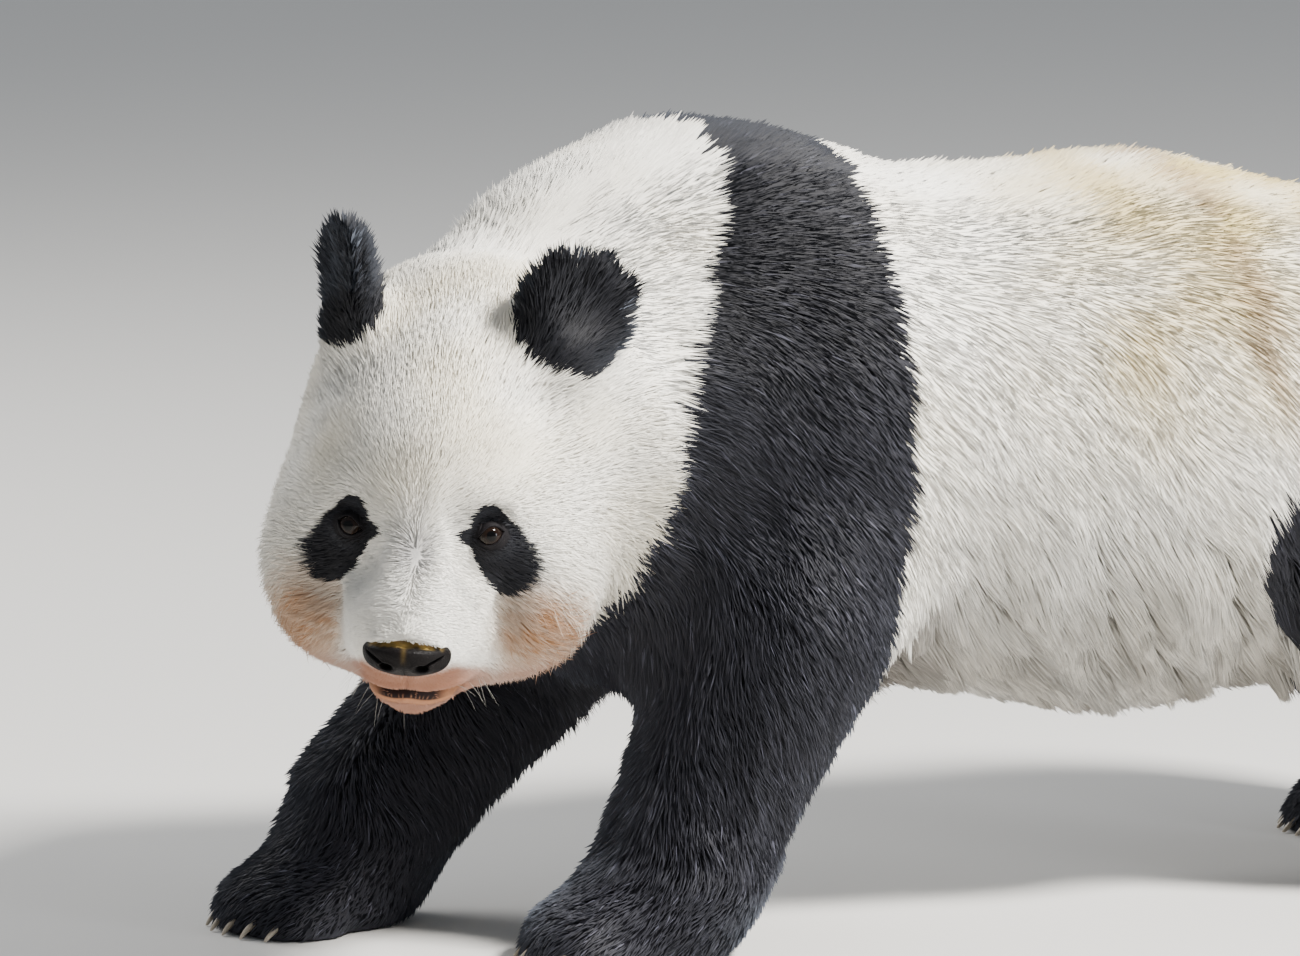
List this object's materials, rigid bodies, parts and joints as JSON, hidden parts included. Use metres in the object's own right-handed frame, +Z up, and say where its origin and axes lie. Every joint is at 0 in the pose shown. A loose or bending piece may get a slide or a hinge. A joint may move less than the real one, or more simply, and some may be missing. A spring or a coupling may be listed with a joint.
{
  "type": "giant panda figure",
  "caption": "Life-size giant panda, walking with its head lowered and turned to its left, as a still museum model that stands on its paws.",
  "frame": {"origin": "on the floor, under the middle of the model's bounding box", "axes": "+Z up, +X along the body towards the tail, so the panda faces -X; its left side is towards -Y"},
  "size_m": [1.393, 0.5878, 0.7229],
  "materials": {
    "white_coat": "soft matte fur",
    "black_coat": "soft fur with a faint sheen",
    "nose_pad": "damp satin",
    "eye": "wet gloss",
    "claw": "satin horn"
  },
  "bodies": {
    "root": {"ear_left": "black_coat", "ear_right": "black_coat", "eye_left": "eye", "eye_right": "eye", "nose": "nose_pad", "head": "white_coat", "neck": "white_coat", "trunk": "white_coat", "tail": "white_coat", "front_left_leg": "black_coat", "front_left_claw_1": "claw", "front_left_claw_2": "claw", "front_left_claw_3": "claw", "front_left_claw_4": "claw", "front_left_claw_5": "claw", "front_left_paw": "black_coat", "front_right_leg": "black_coat", "front_right_claw_1": "claw", "front_right_claw_2": "claw", "front_right_claw_3": "claw", "front_right_claw_4": "claw", "front_right_claw_5": "claw", "front_right_paw": "black_coat", "hind_left_leg": "black_coat", "hind_left_claw_1": "claw", "hind_left_claw_2": "claw", "hind_left_claw_3": "claw", "hind_left_claw_4": "claw", "hind_left_claw_5": "claw", "hind_left_paw": "black_coat", "hind_right_leg": "black_coat", "hind_right_claw_1": "claw", "hind_right_claw_2": "claw", "hind_right_claw_3": "claw", "hind_right_claw_4": "claw", "hind_right_claw_5": "claw", "hind_right_paw": "black_coat"}
  },
  "joints": []
}
